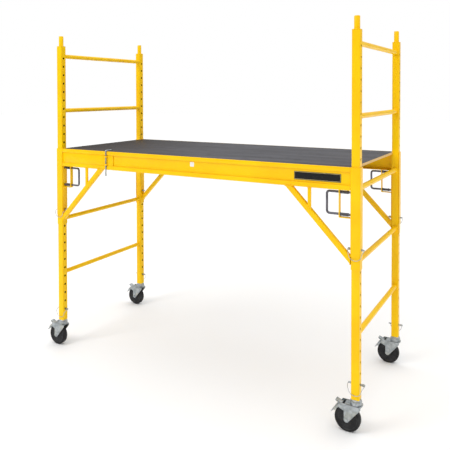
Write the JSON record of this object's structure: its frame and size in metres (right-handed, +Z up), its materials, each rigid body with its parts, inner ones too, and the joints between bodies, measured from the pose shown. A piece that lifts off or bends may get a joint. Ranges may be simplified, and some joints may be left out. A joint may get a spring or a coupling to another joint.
{
  "type": "baker scaffold",
  "caption": "Rolling ladder-frame work platform: two holed end frames on swivel casters carry a pinned, height-adjustable trussed plywood deck.",
  "frame": {"origin": "centre of the bounding box in plan, on the floor under the wheels (the end frames' own mid-plane is 36 mm towards +X, because all casters trail to -X)", "axes": "+X along the deck from the latch end to the other end, +Y from front to rear, +Z up"},
  "size_m": [1.9749, 0.8104, 1.882],
  "materials": {
    "yellow_paint": "glossy powder coat, lightly scuffed",
    "zinc": "bright zinc plate",
    "dark_steel": "dark blackened steel, satin",
    "deck_board": "plywood with a black anti-slip film, bare edges",
    "black_wheel": "matt black tread on a moulded core"
  },
  "bodies": {
    "end_frames": {"upright_front_left": "yellow_paint", "upright_front_right": "yellow_paint", "upright_rear_left": "yellow_paint", "upright_rear_right": "yellow_paint", "coupling_pin_front_left": "yellow_paint", "coupling_pin_front_right": "yellow_paint", "coupling_pin_rear_left": "yellow_paint", "coupling_pin_rear_right": "yellow_paint", "caster_stem_front_left": "zinc", "caster_stem_front_right": "zinc", "caster_stem_rear_left": "zinc", "caster_stem_rear_right": "zinc", "caster_snap_pin_front_left": "zinc", "caster_snap_pin_front_right": "zinc", "caster_snap_pin_rear_left": "zinc", "caster_snap_pin_rear_right": "zinc", "rung_left_1": "yellow_paint", "rung_left_2": "yellow_paint", "rung_left_3": "yellow_paint", "rung_left_4": "yellow_paint", "rung_left_5": "yellow_paint", "rung_right_1": "yellow_paint", "rung_right_2": "yellow_paint", "rung_right_3": "yellow_paint", "rung_right_4": "yellow_paint", "rung_right_5": "yellow_paint"},
    "platform": {"beam_front": "yellow_paint", "beam_rear": "yellow_paint", "deck": "deck_board", "latch_plate": "yellow_paint", "sleeve_front_left": "yellow_paint", "sleeve_front_right": "yellow_paint", "sleeve_rear_left": "yellow_paint", "sleeve_rear_right": "yellow_paint", "brace_front_left": "yellow_paint", "brace_front_right": "yellow_paint", "brace_rear_left": "yellow_paint", "brace_rear_right": "yellow_paint", "truss_snap_pin_front_left": "zinc", "truss_snap_pin_front_right": "zinc", "truss_snap_pin_rear_left": "zinc", "truss_snap_pin_rear_right": "zinc"},
    "deck_latch": {"deck_latch": "zinc"},
    "c_pin_front_left": {"c_pin_front_left": "dark_steel"},
    "c_pin_front_right": {"c_pin_front_right": "dark_steel"},
    "c_pin_rear_left": {"c_pin_rear_left": "dark_steel"},
    "c_pin_rear_right": {"c_pin_rear_right": "dark_steel"},
    "caster_fork_front_left": {"caster_fork_front_left": "zinc"},
    "wheel_front_left": {"wheel_front_left": "black_wheel"},
    "brake_pedal_front_left": {"brake_pedal_front_left": "zinc"},
    "caster_fork_front_right": {"caster_fork_front_right": "zinc"},
    "wheel_front_right": {"wheel_front_right": "black_wheel"},
    "brake_pedal_front_right": {"brake_pedal_front_right": "zinc"},
    "caster_fork_rear_left": {"caster_fork_rear_left": "zinc"},
    "wheel_rear_left": {"wheel_rear_left": "black_wheel"},
    "brake_pedal_rear_left": {"brake_pedal_rear_left": "zinc"},
    "caster_fork_rear_right": {"caster_fork_rear_right": "zinc"},
    "wheel_rear_right": {"wheel_rear_right": "black_wheel"},
    "brake_pedal_rear_right": {"brake_pedal_rear_right": "zinc"}
  },
  "joints": [
    {"name": "platform_height", "type": "slide", "parent": "end_frames", "child": "platform", "axis": [0, 0, 1], "range_m": [-0.4572, 0.4572]},
    {"name": "c_pin_pull_front_left", "type": "slide", "parent": "platform", "child": "c_pin_front_left", "axis": [1, 0, 0], "range_m": [0, 0.022], "stiffness_N_per_m": 400, "springref_m": -0.02},
    {"name": "c_pin_pull_front_right", "type": "slide", "parent": "platform", "child": "c_pin_front_right", "axis": [-1, 0, 0], "range_m": [0, 0.022], "stiffness_N_per_m": 400, "springref_m": -0.02},
    {"name": "c_pin_pull_rear_left", "type": "slide", "parent": "platform", "child": "c_pin_rear_left", "axis": [1, 0, 0], "range_m": [0, 0.022], "stiffness_N_per_m": 400, "springref_m": -0.02},
    {"name": "c_pin_pull_rear_right", "type": "slide", "parent": "platform", "child": "c_pin_rear_right", "axis": [-1, 0, 0], "range_m": [0, 0.022], "stiffness_N_per_m": 400, "springref_m": -0.02},
    {"name": "deck_latch_turn", "type": "hinge", "parent": "platform", "child": "deck_latch", "pos_m": [-0.505, -0.4013, 1.064], "axis": [0, 0, 1], "range_deg": [-90, 90]},
    {"name": "caster_swivel_front_left", "type": "hinge", "parent": "end_frames", "child": "caster_fork_front_left", "pos_m": [-0.875, -0.3775, 0.1315], "axis": [0, 0, 1], "continuous": true},
    {"name": "wheel_spin_front_left", "type": "hinge", "parent": "caster_fork_front_left", "child": "wheel_front_left", "pos_m": [-0.913, -0.3775, 0.06], "axis": [0, 1, 0], "continuous": true},
    {"name": "brake_front_left", "type": "hinge", "parent": "caster_fork_front_left", "child": "brake_pedal_front_left", "pos_m": [-0.941, -0.3775, 0.121], "axis": [0, -1, 0], "range_deg": [0, 5]},
    {"name": "caster_swivel_front_right", "type": "hinge", "parent": "end_frames", "child": "caster_fork_front_right", "pos_m": [0.947, -0.3775, 0.1315], "axis": [0, 0, 1], "continuous": true},
    {"name": "wheel_spin_front_right", "type": "hinge", "parent": "caster_fork_front_right", "child": "wheel_front_right", "pos_m": [0.909, -0.3775, 0.06], "axis": [0, 1, 0], "continuous": true},
    {"name": "brake_front_right", "type": "hinge", "parent": "caster_fork_front_right", "child": "brake_pedal_front_right", "pos_m": [0.881, -0.3775, 0.121], "axis": [0, -1, 0], "range_deg": [0, 5]},
    {"name": "caster_swivel_rear_left", "type": "hinge", "parent": "end_frames", "child": "caster_fork_rear_left", "pos_m": [-0.875, 0.3775, 0.1315], "axis": [0, 0, 1], "continuous": true},
    {"name": "wheel_spin_rear_left", "type": "hinge", "parent": "caster_fork_rear_left", "child": "wheel_rear_left", "pos_m": [-0.913, 0.3775, 0.06], "axis": [0, 1, 0], "continuous": true},
    {"name": "brake_rear_left", "type": "hinge", "parent": "caster_fork_rear_left", "child": "brake_pedal_rear_left", "pos_m": [-0.941, 0.3775, 0.121], "axis": [0, -1, 0], "range_deg": [0, 5]},
    {"name": "caster_swivel_rear_right", "type": "hinge", "parent": "end_frames", "child": "caster_fork_rear_right", "pos_m": [0.947, 0.3775, 0.1315], "axis": [0, 0, 1], "continuous": true},
    {"name": "wheel_spin_rear_right", "type": "hinge", "parent": "caster_fork_rear_right", "child": "wheel_rear_right", "pos_m": [0.909, 0.3775, 0.06], "axis": [0, 1, 0], "continuous": true},
    {"name": "brake_rear_right", "type": "hinge", "parent": "caster_fork_rear_right", "child": "brake_pedal_rear_right", "pos_m": [0.881, 0.3775, 0.121], "axis": [0, -1, 0], "range_deg": [0, 5]}
  ]
}
